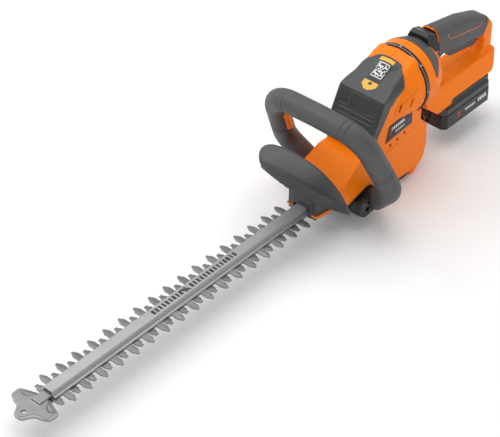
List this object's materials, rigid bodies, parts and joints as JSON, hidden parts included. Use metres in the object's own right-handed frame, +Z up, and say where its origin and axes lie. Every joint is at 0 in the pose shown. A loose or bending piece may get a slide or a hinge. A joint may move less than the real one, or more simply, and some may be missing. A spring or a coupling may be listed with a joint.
{
  "type": "cordless hedge trimmer",
  "caption": "Cordless hedge trimmer with double-action toothed blades, loop front handle, hand guard, swivelling rear handle and slide-on battery.",
  "frame": {"origin": "centre of the footprint of the whole tool, on the surface that the foot stands on", "axes": "+X towards the blade tip, +Y to the operator's left, +Z up"},
  "size_m": [1.0284, 0.2368, 0.227],
  "materials": {
    "orange_shell": "satin moulded shell",
    "grey_soft": "soft textured overmould",
    "grey_shell": "fine spark-eroded texture",
    "black_shell": "satin",
    "blade_steel": "ground and laser cut",
    "rail_alloy": "brushed",
    "cast_alloy": "bead blasted casting",
    "drive_steel": "oiled",
    "sintered": "sintered bronze",
    "dark_steel": "black oxide",
    "board_green": "solder resist",
    "copper": "enamelled winding",
    "cell_wrap": "shrink sleeve",
    "felt": "oiled felt",
    "plate_black": "printed plate",
    "magnet": "ferrite"
  },
  "bodies": {
    "body": {"housing_left": "orange_shell", "housing_right": "orange_shell", "motor_cover": "grey_shell", "name_plates": "plate_black", "base_plate": "black_shell", "housing_screws": "dark_steel", "control_board": "board_green", "angle_ring": "black_shell", "gearbox_pan": "cast_alloy", "gearbox_lid": "cast_alloy", "gearbox_screws": "dark_steel", "nose_block": "grey_shell", "felt_seal": "felt", "trim_frame": "orange_shell", "gear_cover": "orange_shell", "hand_guard": "grey_shell", "handle_shell_front": "grey_soft", "handle_shell_rear": "grey_soft", "handle_bracket_left": "black_shell", "handle_bracket_right": "black_shell", "handle_screws": "dark_steel", "bearings": "sintered", "motor_can": "drive_steel", "motor_end_cap": "black_shell", "motor_magnets": "magnet", "blade_cover": "rail_alloy", "support_bar": "blade_steel", "blade_bolts": "dark_steel", "blade_nuts": "dark_steel", "tip_screws": "dark_steel", "tip_protector": "cast_alloy"},
    "crank": {"crank_shaft": "drive_steel", "crank_gear": "drive_steel", "eccentric_spacer": "drive_steel", "eccentrics": "drive_steel"},
    "rotor": {"motor_shaft": "drive_steel", "rotor_core": "copper", "pinion": "drive_steel", "fan": "black_shell"},
    "upper_blade": {"upper_blade": "blade_steel"},
    "lower_blade": {"lower_blade": "blade_steel"},
    "front_switch": {"front_switch": "orange_shell"},
    "rear_handle": {"rear_handle_left": "orange_shell", "rear_handle_right": "orange_shell", "rear_handle_screws": "dark_steel", "grip_overmould": "grey_soft", "trigger_pin": "drive_steel", "trigger_spring": "drive_steel", "rear_switch": "black_shell", "grey_band": "grey_soft", "terminal_block": "black_shell"},
    "trigger": {"trigger": "black_shell"},
    "swivel_slider": {"swivel_slider": "black_shell"},
    "battery": {"battery_lower": "black_shell", "battery_upper": "grey_shell", "battery_cells": "cell_wrap", "battery_board": "board_green", "battery_screws": "dark_steel", "latch_spring": "drive_steel"},
    "battery_latch": {"battery_latch": "black_shell"}
  },
  "joints": [
    {"name": "crank_turn", "type": "hinge", "parent": "body", "child": "crank", "pos_m": [-0.1572, 0, 0.051], "axis": [0, 0, 1], "range_deg": [0, 180]},
    {"name": "rotor_spin", "type": "hinge", "parent": "body", "child": "rotor", "pos_m": [-0.1972, 0, 0.082], "axis": [0, 0, 1], "range_deg": [-781, 1]},
    {"name": "upper_blade_slide", "type": "slide", "parent": "body", "child": "upper_blade", "axis": [1, 0, 0], "range_m": [0, 0.01501]},
    {"name": "lower_blade_slide", "type": "slide", "parent": "body", "child": "lower_blade", "axis": [-1, 0, 0], "range_m": [0, 0.01501]},
    {"name": "front_switch_press", "type": "slide", "parent": "body", "child": "front_switch", "axis": [0.0628, -0.9886, 0.1372], "range_m": [0, 0.003], "stiffness_N_per_m": 900, "springref_m": -0.002},
    {"name": "rear_handle_swivel", "type": "hinge", "parent": "body", "child": "rear_handle", "pos_m": [-0.3022, 0, 0.167], "axis": [1, 0, 0], "range_deg": [-90, 90]},
    {"name": "trigger_pull", "type": "hinge", "parent": "rear_handle", "child": "trigger", "pos_m": [-0.3922, 0, 0.182], "axis": [0, 1, 0], "range_deg": [0, 7], "stiffness_Nm_per_rad": 1.6, "springref_deg": -8.59, "deforming": ["trigger_spring"]},
    {"name": "swivel_lock_slide", "type": "slide", "parent": "rear_handle", "child": "swivel_slider", "axis": [-1, 0, 0], "range_m": [0, 0.006], "stiffness_N_per_m": 600, "springref_m": -0.002},
    {"name": "battery_slide", "type": "slide", "parent": "rear_handle", "child": "battery", "axis": [-1, 0, 0], "range_m": [0, 0.1]},
    {"name": "battery_release", "type": "slide", "parent": "battery", "child": "battery_latch", "axis": [0, 0, -1], "range_m": [0, 0.003], "stiffness_N_per_m": 700, "springref_m": -0.002, "deforming": ["latch_spring"]}
  ],
  "couplings": [
    {"joint": "rotor_spin", "follows": "crank_turn", "ratio": -4.3333},
    {"joint": "upper_blade_slide", "follows": "crank_turn", "m_per_rad": 0.0047746},
    {"joint": "lower_blade_slide", "follows": "crank_turn", "m_per_rad": 0.0047746}
  ]
}
